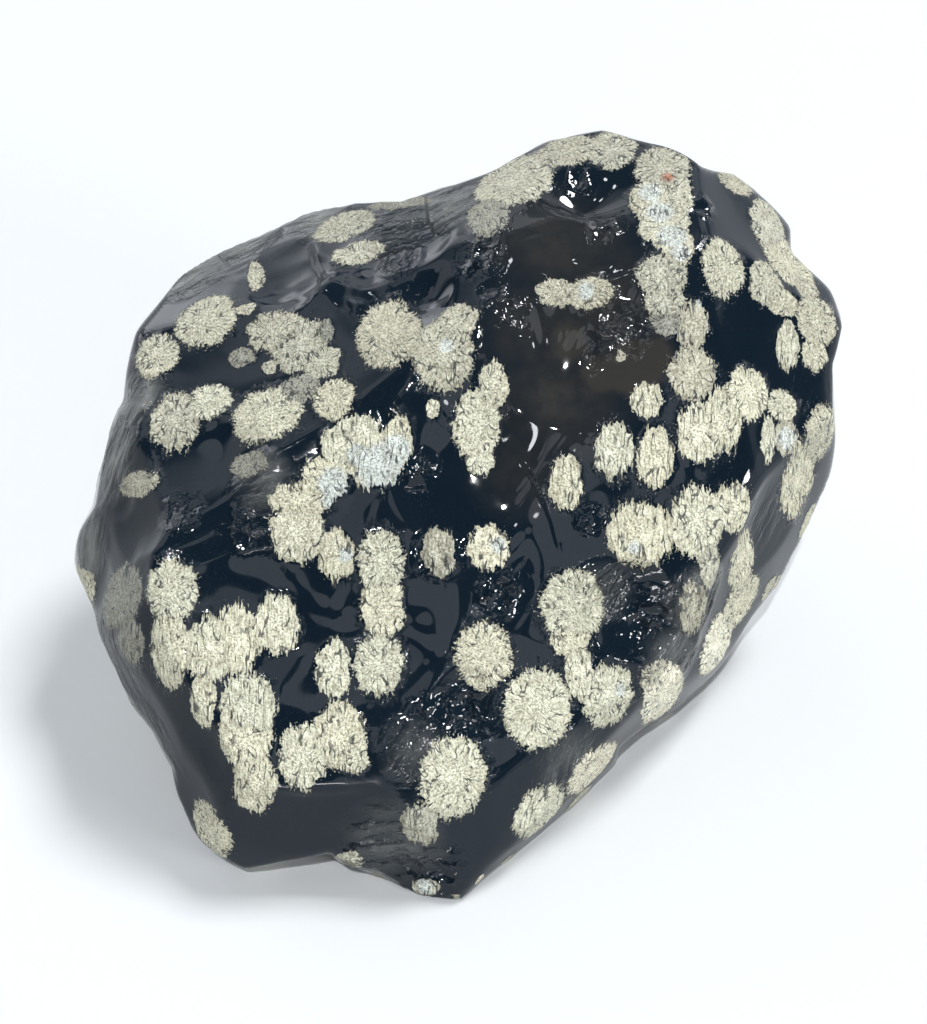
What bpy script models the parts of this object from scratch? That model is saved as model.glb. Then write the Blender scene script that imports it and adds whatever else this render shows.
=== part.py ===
"""A tumbled lump of snowflake obsidian: one piece of black volcanic glass, resting on a flat break.

The lump is described lying face up, in millimetres about a point inside it: X to the right, Y up
the broad face and Z out of that face. Flat breaks are given by a point they pass through and the
way they look, hollow ones by their middle, radius and depth. It is then tipped back by TILT onto
its base.
"""

import math

import bmesh
import bpy
import numpy as np
from mathutils import Matrix

MM = 0.001
TILT = 45.0  # degrees from face up to standing on the base
BASE_DEPTH = 35.0  # mm from the inner point down to the base
BACK_FROM_MIDDLE = 0.85  # mm, how far behind the middle of the standing lump the inner point is
EDGE_ROUNDING = 0.6  # mm, how far the worn edges are rubbed back
SPHERE_STEPS = 7  # subdivisions of the icosphere that the lump is sampled on
KEPT_SHARE = 0.11  # of the sampled triangles, kept where the surface turns

WAIST = [  # the widest outline seen face on, clockwise from the top, mm
    (24, 62.5), (17, 60.5), (14.5, 60.5), (7, 57.5), (-0.5, 55), (-9.5, 51), (-19, 49.5),
    (-26, 49.5), (-34, 45.5), (-40.5, 42), (-46, 38), (-50.5, 32), (-53, 28), (-54.5, 22),
    (-55, 17), (-58, 10.5), (-60, 4.5), (-61, -0.5), (-63, -4.5), (-64, -11), (-63.5, -16),
    (-60.5, -23), (-56, -31), (-51, -38.5), (-48, -44.5), (-47, -49.5), (-44.5, -54.5),
    (-39, -59), (-35.5, -61), (-29.5, -60), (-21.5, -59), (-19, -60.5), (-13, -62.5),
    (-7, -65.5), (-0.5, -68), (3, -66.5), (6.5, -63), (12, -58.5), (18, -56), (23.5, -51),
    (26.5, -43.5), (27, -41), (32, -37), (39, -31), (47, -23.5), (51, -19.5), (55.5, -16),
    (57, -14.5), (57.5, -9.5), (60.5, -3), (62.5, 7), (63, 17), (62.5, 23), (64, 29.5),
    (62, 35.5), (56, 42), (55.5, 46), (52, 49.5), (46, 55), (40.5, 56), (32, 59.5),
]
WAIST_HEIGHT = 2.2  # mm, where the outline was measured
FRONT_TAPER = 256.5  # mm over which the walls would close to a point in front
BACK_TAPER = 90.0  # and behind
BACK_TAPER_START = -16.0  # mm, height at which the walls begin to close behind

# name: point on it (x, y, z in mm), bearing round the outline and pitch above it in degrees.
BROAD_SIDE = {
    "broad face": ((-20, -20, 20), 90, 84),
    "middle face": ((9, -5, 18.5), 5, 80),
    "upper left face": ((-25, 7.5, 18), 118, 60),
    "top left band": ((-33, 31, 5), 112, 42),
    "top left rim": ((-36, 44, -6), 118, 26),
    "top middle": ((-2, 40, 10), 96, 54),
    "upper right face": ((38, 30, 14.5), 12, 58),
    "top right rim": ((44, 44, 7), 40, 40),
    "right middle face": ((38, -5, 14), -20, 66),
    "lower right face": ((8, -38, 20.5), -42, 66),
    "lower right rim": ((17, -44, 14), -38, 48),
    "front toe": ((-8, -55, 18.5), 262, 60),
    "lower edge": ((-33, -45, 22.5), 268, 68),
    "lower left corner": ((-39, -48, 19.5), 225, 50),
    "left slope": ((-46.5, -18, 19.3), 197, 62),
    "left flank": ((-47, -29, 18.5), 205, 38),
    "left tip face": ((-52, -10, 14), 172, 42),
    "upper left flank": ((-51, 13, 9), 162, 36),
    "right side": ((46.5, -5.5, 9), -29, 30),
    "right side foot": ((34, -30, 8), -42, 22),
}
BASE = ((0, -24.75, -24.75), 270, -45)
UNSEEN_SIDE = {
    "back": ((0, 33, -37), 88, -52),
    "back left": ((-48, 12, -28), 165, -34),
    "back right": ((56, 14, -28), 14, -32),
    "top back": ((10, 60, -12), 98, -22),
    "lower left underside": ((-46, -32, -10), 218, -26),
}
# name: middle (x, y, z in mm), radius and depth in mm, then the bearing it is drawn out along and
# how many times longer it is that way.
SCOOPS = {
    "upper bowl": ((20, 29, 12), 16.5, 5.0, 85, 1.15),
    "bowl's upper hollow": ((22, 50, 1), 7.0, 2.4, 175, 1.4),
    "left bowl": ((-42, 1, 11), 13.0, 4.2, 20, 1.25),
    "right pit": ((28.5, -17.5, 15), 8.0, 5.0, 110, 1.1),
    "half moon": ((26, -27.5, 14), 4.0, 1.6, 170, 1.4),
    "middle dimple": ((1, -32.5, 20.5), 5.5, 2.0, 60, 1.2),
    "band bowl": ((-27.5, 37, 1), 6.5, 2.0, 60, 1.3),
    "band scoop": ((-12, 43, 4), 7.0, 2.0, 15, 1.7),
    "shoulder scoop": ((-9, 34, 11), 7.5, 1.8, 0, 1.2),
    "upper left scoop": ((-40, 21, 6), 10.0, 1.4, 20, 1.6),
    "middle scoop": ((2, 9, 19), 12.0, 1.2, 70, 1.4),
    "right shoulder scoop": ((44, 32, 11), 10.0, 1.8, 60, 1.3),
    "lower scoop": ((-22, -47, 21), 9.0, 1.8, 10, 1.8),
    "toe scoop": ((-9, -56, 17), 7.0, 1.6, 160, 1.3),
    "corner scoop": ((14, -45, 15), 8.0, 1.6, 50, 1.4),
    "side scoop": ((50, 2, 0), 11.0, 1.8, 60, 1.5),
    "left side scoop": ((-57, -20, 0), 11.0, 1.8, 110, 1.4),
    "back scoop": ((-16, 26, -42), 19.0, 5.0, 60, 1.3),
    "back right scoop": ((38, 22, -36), 17.0, 4.5, 120, 1.2),
    "back upper scoop": ((2, 56, -16), 14.0, 3.0, 0, 1.6),
    "back left scoop": ((-50, 22, -22), 14.0, 3.0, 90, 1.3),
}
WAVES = 40  # gentle swells that keep any break from being a true plane
SWELL = 0.45  # mm, their height together
SWELL_LENGTHS = (9.0, 42.0)  # mm, from crest to crest
SEED = 11


def looks_along(bearing, pitch):
    """The unit vector at a bearing round the outline and a pitch above it."""
    b, p = math.radians(bearing), math.radians(pitch)
    return np.array([math.cos(p) * math.cos(b), math.cos(p) * math.sin(b), math.sin(p)])


def reach_of(rays, point, bearing, pitch):
    """How far each ray from the inner point travels before it meets one flat break."""
    normal = looks_along(bearing, pitch)
    towards = rays @ normal
    return np.where(towards > 1e-6, np.array(point) @ normal / np.maximum(towards, 1e-6), np.inf)


def scooped(points, middle, radius, depth, bearing, stretch):
    """How much a round hollow with a crisp rim takes off at each point, in mm."""
    off = points - np.array(middle, float)
    along = off @ looks_along(bearing, 0)
    spread = (off**2).sum(axis=1) - along**2 * (1 - 1 / stretch**2)
    return depth * np.clip(1 - spread / radius**2, 0, 1)


def waist_at(bearings):
    """The waist's distance from the inner point, in mm, at each bearing in radians."""
    corners = np.array(WAIST, float)
    angles = np.arctan2(corners[:, 1], corners[:, 0])
    order = np.argsort(angles)
    return np.interp(bearings, angles[order], np.hypot(*corners[order].T), period=2 * math.pi)


def wall_reaches(rays):
    """How far each ray travels before it meets the walls in front of and behind the waist."""
    across = np.hypot(rays[:, 0], rays[:, 1])
    waist = waist_at(np.arctan2(rays[:, 1], rays[:, 0]))
    walls = []
    for height, taper in ((WAIST_HEIGHT, FRONT_TAPER), (BACK_TAPER_START, -BACK_TAPER)):
        closing = across + waist * rays[:, 2] / taper
        limit = waist * (1 + height / taper)
        walls.append(np.where(closing > 1e-6, limit / np.maximum(closing, 1e-6), np.inf))
    return walls


def swells(points):
    """The gentle swells of the surface, in mm, from seeded waves crossing it in all directions."""
    chance = np.random.default_rng(SEED)
    ways = chance.normal(size=(WAVES, 3))
    ways /= np.linalg.norm(ways, axis=1)[:, None]
    lengths = chance.uniform(*SWELL_LENGTHS, WAVES)
    start = chance.uniform(0, 2 * math.pi, WAVES)
    waves = np.sin(points @ (ways * (2 * math.pi / lengths)[:, None]).T + start)
    return SWELL * (waves * lengths).sum(axis=1) / np.sqrt((lengths**2).sum() / 2)


def rubbed_nearest(reaches):
    """The nearest of several reaches, with the corner between them rubbed round."""
    nearest = reaches.min(axis=0)
    near = np.exp(-(reaches - nearest) / EDGE_ROUNDING).sum(axis=0)
    return nearest - EDGE_ROUNDING * np.log(near)


def lump_reach(rays):
    """The distance in mm from the inner point to the surface along each unit ray."""
    breaks = [*BROAD_SIDE.values(), *UNSEEN_SIDE.values()]
    reaches = [reach_of(rays, *item) for item in breaks] + wall_reaches(rays)
    body = rubbed_nearest(np.array(reaches))
    whole = rays * body[:, None]
    body += swells(whole) - sum(scooped(whole, *scoop) for scoop in SCOOPS.values())
    return rubbed_nearest(np.array([body, reach_of(rays, *BASE)]))


def standing():
    """The matrix that tips the lump onto its base, with the origin under its middle."""
    tip = Matrix.Rotation(math.radians(TILT), 4, "X")
    lift = Matrix.Translation((0, BACK_FROM_MIDDLE * MM, BASE_DEPTH * MM))
    return lift @ tip


def make_lump():
    form = bmesh.new()
    bmesh.ops.create_icosphere(form, subdivisions=SPHERE_STEPS, radius=1.0)
    rays = np.array([v.co for v in form.verts])
    rays /= np.linalg.norm(rays, axis=1)[:, None]
    for vertex, ray, reach in zip(form.verts, rays, lump_reach(rays)):
        vertex.co = ray * reach * MM
    form.transform(standing())
    mesh = bpy.data.meshes.new("obsidian_lump")
    form.to_mesh(mesh)
    form.free()
    mesh.shade_smooth()
    return bpy.data.objects.new("obsidian_lump", mesh)


def glass_material():
    material = bpy.data.materials.new("black volcanic glass")
    material.use_nodes = True
    shader = material.node_tree.nodes["Principled BSDF"]
    shader.inputs["Base Color"].default_value = (0.012, 0.013, 0.016, 1)
    shader.inputs["Roughness"].default_value = 0.15
    return material


def main():
    for old in list(bpy.data.objects):
        bpy.data.objects.remove(old)
    part = bpy.data.collections.new("snowflake obsidian")
    bpy.context.scene.collection.children.link(part)
    lump = make_lump()
    part.objects.link(lump)
    lump.data.materials.append(glass_material())
    keep = lump.modifiers.new("keep the turns", "DECIMATE")
    keep.ratio = KEPT_SHARE


main()
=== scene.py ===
# %% [markdown]
# # A lump of snowflake obsidian
#
# Obsidian is lava that cooled too fast to grow crystals, so it is a natural black glass. In this
# kind pale crystals did start, as little balls, and the broken surface cuts through them and
# shows them as snowflakes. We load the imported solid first. It stays the stone's real size, and
# the fine surface that we build later has to stay inside its box.

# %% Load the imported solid
import math

import bmesh
import bpy
import numpy as np
from mathutils import Matrix, Vector
from mathutils.bvhtree import BVHTree
from mathutils.noise import turbulence


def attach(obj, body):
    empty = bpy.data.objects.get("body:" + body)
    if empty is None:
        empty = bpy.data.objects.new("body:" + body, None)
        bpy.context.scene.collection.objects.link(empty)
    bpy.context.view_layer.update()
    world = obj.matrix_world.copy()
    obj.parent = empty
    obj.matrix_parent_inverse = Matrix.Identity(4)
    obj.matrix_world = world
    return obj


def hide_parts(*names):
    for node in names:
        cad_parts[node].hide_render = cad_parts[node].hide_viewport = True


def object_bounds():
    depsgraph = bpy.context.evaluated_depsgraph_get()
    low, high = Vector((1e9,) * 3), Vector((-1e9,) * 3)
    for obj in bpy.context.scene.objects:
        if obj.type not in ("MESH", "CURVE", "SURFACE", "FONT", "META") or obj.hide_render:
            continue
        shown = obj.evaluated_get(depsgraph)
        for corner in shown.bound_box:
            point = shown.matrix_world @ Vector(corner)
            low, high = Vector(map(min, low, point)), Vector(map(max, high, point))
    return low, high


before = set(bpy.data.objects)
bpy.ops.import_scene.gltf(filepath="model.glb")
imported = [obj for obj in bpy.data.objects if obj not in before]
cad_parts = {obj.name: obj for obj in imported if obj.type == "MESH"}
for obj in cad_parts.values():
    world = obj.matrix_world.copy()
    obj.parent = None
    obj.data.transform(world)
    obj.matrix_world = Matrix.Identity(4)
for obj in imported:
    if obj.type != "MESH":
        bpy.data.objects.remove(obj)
cad_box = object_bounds()
MM = 0.001
print("box of the solid in mm:", [[round(v / MM, 1) for v in corner] for corner in cad_box])

# %% [markdown]
# ## Where we look from
#
# The picture looks down at 45 degrees from in front of the stone. The threads of the cloth under
# it run together far above the picture, which gives that angle and the length of the lens. A
# camera in Blender is a plain object: a place, a turn and a lens.

# %% The camera
PICTURE = (927, 1024)  # pixels
LENS_PX = 1539.0  # the distance of the picture plane, in pixels
LOOK_DOWN = math.radians(45)
CAMERA_AT = Vector((1.0, -183.15, 216.8)) * MM

camera = bpy.data.objects.new("camera", bpy.data.cameras.new("camera"))
bpy.context.scene.collection.objects.link(camera)
bpy.context.scene.camera = camera
camera.location = CAMERA_AT
camera.rotation_euler = (math.pi / 2 - LOOK_DOWN, 0, 0)
camera.data.sensor_width = 36
camera.data.lens = LENS_PX / PICTURE[1] * camera.data.sensor_width
camera.data.clip_start = 0.005


def sight_line(x, y):
    """The way a pixel of the picture looks, as a unit vector in the room."""
    seen = Vector((x - PICTURE[0] / 2, PICTURE[1] / 2 - y, -LENS_PX)).normalized()
    return camera.rotation_euler.to_matrix() @ seen


print(f"lens {camera.data.lens:.1f} mm, middle of the picture looks along", sight_line(463.5, 512))

# %% [markdown]
# ## The lump's main breaks
#
# A lump of glass has no smooth skin: it is bounded by breaks. Each flat one is a plane and each
# hollow one a shallow scoop. We stand at a point inside the stone and ask, for every direction,
# how far away the nearest break is. That one question gives the whole surface, closed and with no
# overlaps, and it is the same one that the solid was made from. The lump is described lying face
# up, in millimetres, and tipped back onto its base afterwards.

# %% The values of the solid
TILT = 45.0
BASE_DEPTH = 35.0
BACK_FROM_MIDDLE = 0.85
EDGE_ROUNDING = 0.6
WAIST = [
    (24, 62.5), (17, 60.5), (14.5, 60.5), (7, 57.5), (-0.5, 55), (-9.5, 51), (-19, 49.5),
    (-26, 49.5), (-34, 45.5), (-40.5, 42), (-46, 38), (-50.5, 32), (-53, 28), (-54.5, 22),
    (-55, 17), (-58, 10.5), (-60, 4.5), (-61, -0.5), (-63, -4.5), (-64, -11), (-63.5, -16),
    (-60.5, -23), (-56, -31), (-51, -38.5), (-48, -44.5), (-47, -49.5), (-44.5, -54.5),
    (-39, -59), (-35.5, -61), (-29.5, -60), (-21.5, -59), (-19, -60.5), (-13, -62.5),
    (-7, -65.5), (-0.5, -68), (3, -66.5), (6.5, -63), (12, -58.5), (18, -56), (23.5, -51),
    (26.5, -43.5), (27, -41), (32, -37), (39, -31), (47, -23.5), (51, -19.5), (55.5, -16),
    (57, -14.5), (57.5, -9.5), (60.5, -3), (62.5, 7), (63, 17), (62.5, 23), (64, 29.5),
    (62, 35.5), (56, 42), (55.5, 46), (52, 49.5), (46, 55), (40.5, 56), (32, 59.5),
]
WAIST_HEIGHT = 2.2
FRONT_TAPER = 256.5
BACK_TAPER = 90.0
BACK_TAPER_START = -16.0
FLAT_BREAKS = {
    "broad face": ((-20, -20, 20), 90, 84),
    "middle face": ((9, -5, 18.5), 5, 80),
    "upper left face": ((-25, 7.5, 18), 118, 60),
    "top left band": ((-33, 31, 5), 112, 42),
    "top left rim": ((-36, 44, -6), 118, 26),
    "top middle": ((-2, 40, 10), 96, 54),
    "upper right face": ((38, 30, 14.5), 12, 58),
    "top right rim": ((44, 44, 7), 40, 40),
    "right middle face": ((38, -5, 14), -20, 66),
    "lower right face": ((8, -38, 20.5), -42, 66),
    "lower right rim": ((17, -44, 14), -38, 48),
    "front toe": ((-8, -55, 18.5), 262, 60),
    "lower edge": ((-33, -45, 22.5), 268, 68),
    "lower left corner": ((-39, -48, 19.5), 225, 50),
    "left slope": ((-46.5, -18, 19.3), 197, 62),
    "left flank": ((-47, -29, 18.5), 205, 38),
    "left tip face": ((-52, -10, 14), 172, 42),
    "upper left flank": ((-51, 13, 9), 162, 36),
    "right side": ((46.5, -5.5, 9), -29, 30),
    "right side foot": ((34, -30, 8), -42, 22),
    "back": ((0, 33, -37), 88, -52),
    "back left": ((-48, 12, -28), 165, -34),
    "back right": ((56, 14, -28), 14, -32),
    "top back": ((10, 60, -12), 98, -22),
    "lower left underside": ((-46, -32, -10), 218, -26),
}
BASE = ((0, -24.75, -24.75), 270, -45)
SCOOPS = {
    "upper bowl": ((20, 29, 12), 16.5, 5.0, 85, 1.15),
    "bowl's upper hollow": ((22, 50, 1), 7.0, 2.4, 175, 1.4),
    "left bowl": ((-42, 1, 11), 13.0, 4.2, 20, 1.25),
    "right pit": ((28.5, -17.5, 15), 8.0, 5.0, 110, 1.1),
    "half moon": ((26, -27.5, 14), 4.0, 1.6, 170, 1.4),
    "middle dimple": ((1, -32.5, 20.5), 5.5, 2.0, 60, 1.2),
    "band bowl": ((-27.5, 37, 1), 6.5, 2.0, 60, 1.3),
    "band scoop": ((-12, 43, 4), 7.0, 2.0, 15, 1.7),
    "shoulder scoop": ((-9, 34, 11), 7.5, 1.8, 0, 1.2),
    "upper left scoop": ((-40, 21, 6), 10.0, 1.4, 20, 1.6),
    "middle scoop": ((2, 9, 19), 12.0, 1.2, 70, 1.4),
    "right shoulder scoop": ((44, 32, 11), 10.0, 1.8, 60, 1.3),
    "lower scoop": ((-22, -47, 21), 9.0, 1.8, 10, 1.8),
    "toe scoop": ((-9, -56, 17), 7.0, 1.6, 160, 1.3),
    "corner scoop": ((14, -45, 15), 8.0, 1.6, 50, 1.4),
    "side scoop": ((50, 2, 0), 11.0, 1.8, 60, 1.5),
    "left side scoop": ((-57, -20, 0), 11.0, 1.8, 110, 1.4),
    "back scoop": ((-16, 26, -42), 19.0, 5.0, 60, 1.3),
    "back right scoop": ((38, 22, -36), 17.0, 4.5, 120, 1.2),
    "back upper scoop": ((2, 56, -16), 14.0, 3.0, 0, 1.6),
    "back left scoop": ((-50, 22, -22), 14.0, 3.0, 90, 1.3),
}
WAVES = 40
SWELL = 0.45
SWELL_LENGTHS = (9.0, 42.0)
SEED = 11
# the fine surface keeps its edges sharper, and some scoops fade out at their rims
SHARP_ROUNDING = 0.3  # mm
SOFT_RIM = 1.5
SOFT_SCOOPS = (
    "upper bowl", "middle scoop", "upper left scoop", "right shoulder scoop", "lower scoop",
    "toe scoop", "shoulder scoop",
)


# %% How far the nearest break is
def looks_along(bearing, pitch):
    b, p = math.radians(bearing), math.radians(pitch)
    return np.array([math.cos(p) * math.cos(b), math.cos(p) * math.sin(b), math.sin(p)])


def reach_of(rays, point, bearing, pitch):
    normal = looks_along(bearing, pitch)
    towards = rays @ normal
    return np.where(towards > 1e-6, np.array(point) @ normal / np.maximum(towards, 1e-6), np.inf)


def scooped(points, middle, radius, depth, bearing, stretch, rim=1.0):
    off = points - np.array(middle, float)
    along = off @ looks_along(bearing, 0)
    spread = (off**2).sum(axis=1) - along**2 * (1 - 1 / stretch**2)
    return depth * np.clip(1 - spread / radius**2, 0, 1) ** rim


def wall_reaches(rays):
    corners = np.array(WAIST, float)
    angles = np.arctan2(corners[:, 1], corners[:, 0])
    order = np.argsort(angles)
    across = np.hypot(rays[:, 0], rays[:, 1])
    bearings = np.arctan2(rays[:, 1], rays[:, 0])
    waist = np.interp(bearings, angles[order], np.hypot(*corners[order].T), period=2 * math.pi)
    walls = []
    for height, taper in ((WAIST_HEIGHT, FRONT_TAPER), (BACK_TAPER_START, -BACK_TAPER)):
        closing = across + waist * rays[:, 2] / taper
        limit = waist * (1 + height / taper)
        walls.append(np.where(closing > 1e-6, limit / np.maximum(closing, 1e-6), np.inf))
    return walls


def swells(points):
    chance = np.random.default_rng(SEED)
    ways = chance.normal(size=(WAVES, 3))
    ways /= np.linalg.norm(ways, axis=1)[:, None]
    lengths = chance.uniform(*SWELL_LENGTHS, WAVES)
    start = chance.uniform(0, 2 * math.pi, WAVES)
    waves = np.sin(points @ (ways * (2 * math.pi / lengths)[:, None]).T + start)
    return SWELL * (waves * lengths).sum(axis=1) / np.sqrt((lengths**2).sum() / 2)


def rubbed_nearest(reaches, rounding=EDGE_ROUNDING):
    nearest = reaches.min(axis=0)
    near = np.exp(-(reaches - nearest) / rounding).sum(axis=0)
    return nearest - rounding * np.log(near)


def body_reach(rays, rounding=EDGE_ROUNDING, soft=()):
    """The lump's surface before its base is cut, with the main scoops taken out."""
    reaches = [reach_of(rays, *item) for item in FLAT_BREAKS.values()] + wall_reaches(rays)
    body = rubbed_nearest(np.array(reaches), rounding)
    whole = rays * body[:, None]
    taken = [
        scooped(whole, *scoop, SOFT_RIM if name in soft else 1.0) for name, scoop in SCOOPS.items()
    ]
    return body + swells(whole) - sum(taken)


def cut_by_base(rays, body):
    return rubbed_nearest(np.array([body, reach_of(rays, *BASE)]))


# %% [markdown]
# ## An even net of points
#
# A globe made of rings bunches its points at the poles. A cube blown up into a ball doesn't, and
# all its faces have four sides. The tangent keeps the squares the same size, and sliding the
# points a little towards the broad face puts more of them where there is more to see.

# %% A ball of directions
NET_CUTS = 127  # cuts along each edge of the cube
TOWARDS_FACE = 0.3


def ball_of_directions(cuts, shift):
    form = bmesh.new()
    bmesh.ops.create_cube(form, size=2)
    bmesh.ops.subdivide_edges(form, edges=form.edges[:], cuts=cuts, use_grid_fill=True)
    mesh = bpy.data.meshes.new("obsidian")
    form.to_mesh(mesh)
    form.free()
    grid = np.zeros(len(mesh.vertices) * 3)
    mesh.vertices.foreach_get("co", grid)
    rays = np.tan(grid.reshape(-1, 3) * math.pi / 4)
    rays /= np.linalg.norm(rays, axis=1)[:, None]
    rays[:, 2] += shift
    return mesh, rays / np.linalg.norm(rays, axis=1)[:, None]


stone_mesh, rays = ball_of_directions(NET_CUTS, TOWARDS_FACE)
print(f"{len(rays)} directions, {len(stone_mesh.polygons)} faces")

# %% [markdown]
# ## Reading places off the picture
#
# The small marks are placed where the picture shows them. Each is written as the pixel it was
# read at. The line of sight through that pixel is followed until it meets the stone.

# %% From a pixel to the stone
standing = (
    Matrix.Translation((0, BACK_FROM_MIDDLE * MM, BASE_DEPTH * MM))
    @ Matrix.Rotation(math.radians(TILT), 4, "X")
)
turn = np.array(standing.to_3x3())
shift = np.array(standing.translation)


def to_room(points):
    """From the face-up lump, in mm, to the room, in metres."""
    return points * MM @ turn.T + shift


def to_lump(places):
    return (np.array(places) - shift) @ turn / MM


plain_reach = body_reach(rays, SHARP_ROUNDING, SOFT_SCOOPS)
plain_room = to_room(rays * cut_by_base(rays, plain_reach)[:, None])
faces = np.zeros(len(stone_mesh.polygons) * 4, int)
stone_mesh.polygons.foreach_get("vertices", faces)
faces = faces.reshape(-1, 4)
skin = BVHTree.FromPolygons(plain_room.tolist(), faces.tolist())


def on_stone(x, y):
    """The spot on the stone that a pixel shows, in the lump's mm, or None beside it."""
    hit, normal, _, _ = skin.ray_cast(CAMERA_AT, sight_line(x, y))
    return None if hit is None else to_lump(hit)


def near_stone(x, y):
    """The same, or the nearest spot of the skin where the pixel is just beside the stone."""
    spot = on_stone(x, y)
    step = 0
    while spot is None and step < 40:
        step += 1
        inward = step / 100
        spot = on_stone(x + (455 - x) * inward, y + (515 - y) * inward)
    return spot


print("the middle of the picture shows", on_stone(463.5, 512).round(1), "mm on the lump")

# %% [markdown]
# ## Small scars
#
# Between the big breaks the glass is pitted and torn: bubbles that broke open, chips, and the
# lips that a crack leaves when it slows down. They could be sculpted by hand. Here each is a small
# sum, so that one number moves it or makes it deeper. A pit is one more scoop, a lip is a long
# slope with a short drop beside it, and a torn place is rough noise in a soft round patch. The
# streaks are too fine for the mesh, and the finish draws them later.

# %% Pits, ripples and torn places
# pixel x and y, radius in mm, depth in mm
PITS = {
    "bubble ring": (483, 247, 1.9, 0.8),
    "bubble under it": (487, 288, 1.7, 0.7),
    "bubble at the bowl": (505, 305, 2.1, 0.8),
    "low bubble": (521, 327, 1.6, 0.7),
    "bowl bubble": (595, 359, 1.9, 1.0),
    "bowl hole": (636, 330, 3.2, 1.3),
    "top hole": (581, 182, 1.7, 1.2),
    "dark hollow": (592, 205, 5.5, 1.2),
    "pit floor": (655, 628, 4.5, 1.2),
    "groove middle": (502, 592, 2.2, 0.9),
    "dimple chip": (440, 700, 2.0, 0.8),
    "dimple floor": (470, 712, 3.2, 0.9),
    "dimple gleam": (424, 722, 2.0, 0.8),
    "left valley": (285, 262, 6.0, 1.3),
    "left valley foot": (262, 290, 6.0, 0.8),
    "shoulder dip": (358, 285, 5.0, 0.9),
    "shoulder dip right": (432, 285, 4.5, 1.0),
    "toe chip": (405, 862, 2.6, 0.8),
    "toe chip right": (440, 868, 2.8, 0.9),
    "wrinkled chip": (704, 208, 1.9, 0.8),
    "rim notch": (806, 292, 2.0, 0.7),
    "left notch": (125, 398, 2.4, 0.6),
    "flank dent": (118, 500, 4.0, 0.7),
    "lower dent": (203, 752, 5.0, 0.6),
    "between flakes": (205, 372, 5.0, 0.5),
}
# pixel x and y of the middle, reach in mm, way the streaks run in degrees, height in mm, how pale
# (partly painted sheen)
STREAKS = {
    "left rim": (112, 460, 9.0, 55, 0.30, 0.30),
    "left rim top": (136, 400, 6.0, 60, 0.26, 0.35),
    "upper left rim": (190, 272, 9.0, 33, 0.30, 0.5),
    "top left rim": (240, 240, 8.0, 30, 0.30, 0.28),
    "top band": (315, 218, 7.0, 20, 0.26, 0.35),
    "top band swirl": (400, 222, 9.0, 2, 0.30, 0.08),
    "top band right": (450, 205, 8.0, 40, 0.30, 0.25),
    "left flank": (112, 650, 11.0, -60, 0.16, 0.12),
    "left flank low": (155, 745, 9.0, -55, 0.16, 0.12),
    "left tip": (88, 550, 7.0, 75, 0.24, 0.3),
    "hollow ribs": (262, 480, 6.0, 25, 0.24, 0.2),
    "wrinkled band": (566, 760, 7.0, 78, 0.30, 0.12),
    "pit's left wall": (600, 590, 6.0, 62, 0.50, 0.10),
    "right edge": (700, 600, 7.0, 70, 0.50, 0.3),
    "right foot": (672, 665, 8.0, 52, 0.26, 0.25),
    "dimple wall": (412, 750, 6.0, 50, 0.24, 0.10),
    "dimple right": (500, 700, 6.0, 75, 0.20, 0.0),
    "shoulder": (400, 262, 5.0, 85, 0.22, 0.0),
    "right side": (765, 520, 8.0, 70, 0.06, 0.0),
    "toe": (395, 838, 9.0, 10, 0.30, 0.15),
}
LONG_SLOPE = 3.2  # how far a ridge's long side reaches, in half widths
SHORT_DROP = 0.7
# corners in pixels, half width in mm, height in mm
RIDGES = {
    "left ledge": (
        [(130, 565), (160, 552), (200, 537), (262, 503), (285, 478), (300, 455)], 2.2, 0.7
    ),
    "valley's right side": ([(312, 238), (318, 258), (322, 290), (305, 312)], 1.8, 0.8),
    "rim's lower line": ([(178, 290), (240, 272), (268, 255), (306, 238), (322, 234)], 1.8, 0.6),
    "fissure": ([(418, 366), (408, 388), (392, 405)], 1.2, 0.5),
    "shoulder rib": ([(398, 252), (397, 292)], 1.2, 0.35),
    "shoulder rib right": ([(420, 225), (418, 262), (412, 300)], 1.3, 0.45),
    "shoulder rib left": ([(345, 268), (349, 300), (372, 312)], 1.5, 0.4),
    "pit's left edge": ([(625, 566), (602, 588), (592, 630), (598, 655)], 1.6, 0.7),
    "pit's right edge": ([(690, 562), (703, 592), (694, 640), (664, 690)], 1.6, 0.8),
    "pit's rib": ([(664, 572), (640, 592), (616, 618)], 1.3, 0.5),
    "band's left side": ([(588, 715), (570, 760), (560, 805)], 1.5, 0.45),
    "groove's right side": ([(522, 568), (508, 598), (486, 625)], 1.3, 0.5),
    "dimple's left side": ([(428, 690), (418, 730), (436, 742)], 1.3, 0.45),
    "ledge arc": ([(576, 222), (602, 230), (632, 224)], 1.3, 0.6),
    "bowl's gleam": ([(566, 255), (590, 260), (616, 265)], 1.2, 0.45),
    "bowl's gleam right": ([(612, 268), (634, 271)], 1.0, 0.4),
    "fold": ([(262, 770), (300, 792), (345, 790), (392, 770)], 1.8, 0.5),
    "neck line": ([(520, 455), (552, 520), (562, 560)], 1.0, 0.15),
    "left dark line": ([(225, 268), (238, 282), (262, 282)], 1.2, 0.3),
}
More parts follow.
